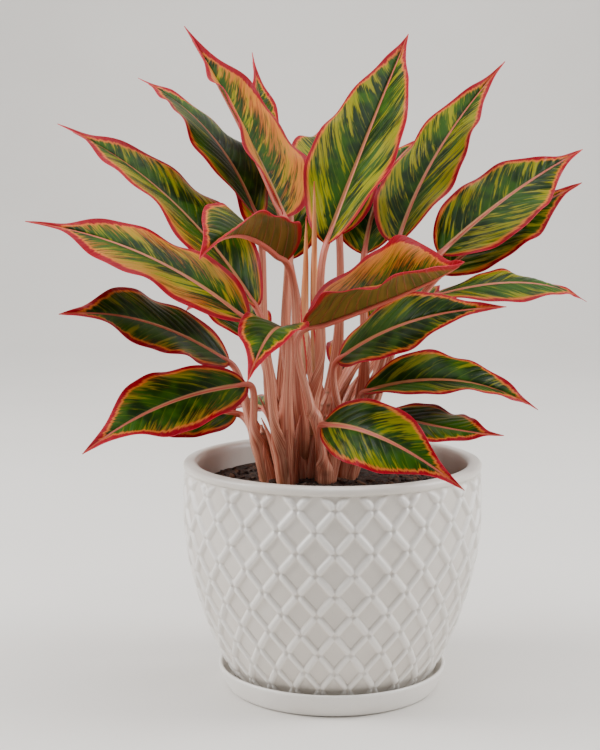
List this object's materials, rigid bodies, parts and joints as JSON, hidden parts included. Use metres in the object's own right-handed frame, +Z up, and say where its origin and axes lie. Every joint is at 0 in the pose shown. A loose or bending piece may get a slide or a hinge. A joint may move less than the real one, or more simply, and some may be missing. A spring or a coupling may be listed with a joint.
{
  "type": "potted chinese evergreen",
  "caption": "Chinese evergreen (Aglaonema) with red-edged leaves in a round glazed pot with a raised diamond lattice, standing in its saucer.",
  "frame": {"origin": "centre of the saucer's underside, where the object stands", "axes": "+Z up along the pot's axis; -Y is the front, where the lowest front leaf hangs over the rim; +X to the right seen from the front"},
  "size_m": [0.4342, 0.3753, 0.5192],
  "materials": {
    "pot_glaze": "satin off-white glaze",
    "saucer_glaze": "satin off-white glaze",
    "potting_mix": null,
    "cane": null,
    "leaf": null,
    "young_leaf": "rolled young leaf, cream to orange; leather stands in"
  },
  "bodies": {
    "root": {"saucer": "saucer_glaze", "pot": "pot_glaze", "soil": "potting_mix", "cane_a": "cane", "cane_b": "cane", "cane_c": "cane", "cane_d": "cane", "cane_e": "cane", "cane_f": "cane", "cane_g": "cane", "cane_h": "cane", "cane_i": "cane", "leaf_top_left": "leaf", "leaf_top_left_rear": "leaf", "leaf_top_middle": "leaf", "leaf_top_right": "leaf", "leaf_right_high": "leaf", "leaf_right_high_rear": "leaf", "leaf_left_high": "leaf", "leaf_left_upper": "leaf", "leaf_left_middle": "leaf", "leaf_left_lower": "leaf", "leaf_front_left": "leaf", "leaf_low_left": "leaf", "leaf_centre_left": "leaf", "leaf_centre_front": "leaf", "leaf_centre_right": "leaf", "leaf_right_middle": "leaf", "leaf_right_far": "leaf", "leaf_right_lower": "leaf", "leaf_low_right": "leaf", "leaf_front_rim": "leaf", "leaf_back_middle": "leaf", "leaf_back_right": "leaf", "leaf_back_left": "leaf", "leaf_back_low_left": "leaf", "leaf_back_low_middle": "leaf", "leaf_back_low_right": "leaf", "leaf_back_over_rim": "leaf", "young_leaf_left": "young_leaf", "young_leaf_right": "young_leaf"}
  },
  "joints": []
}
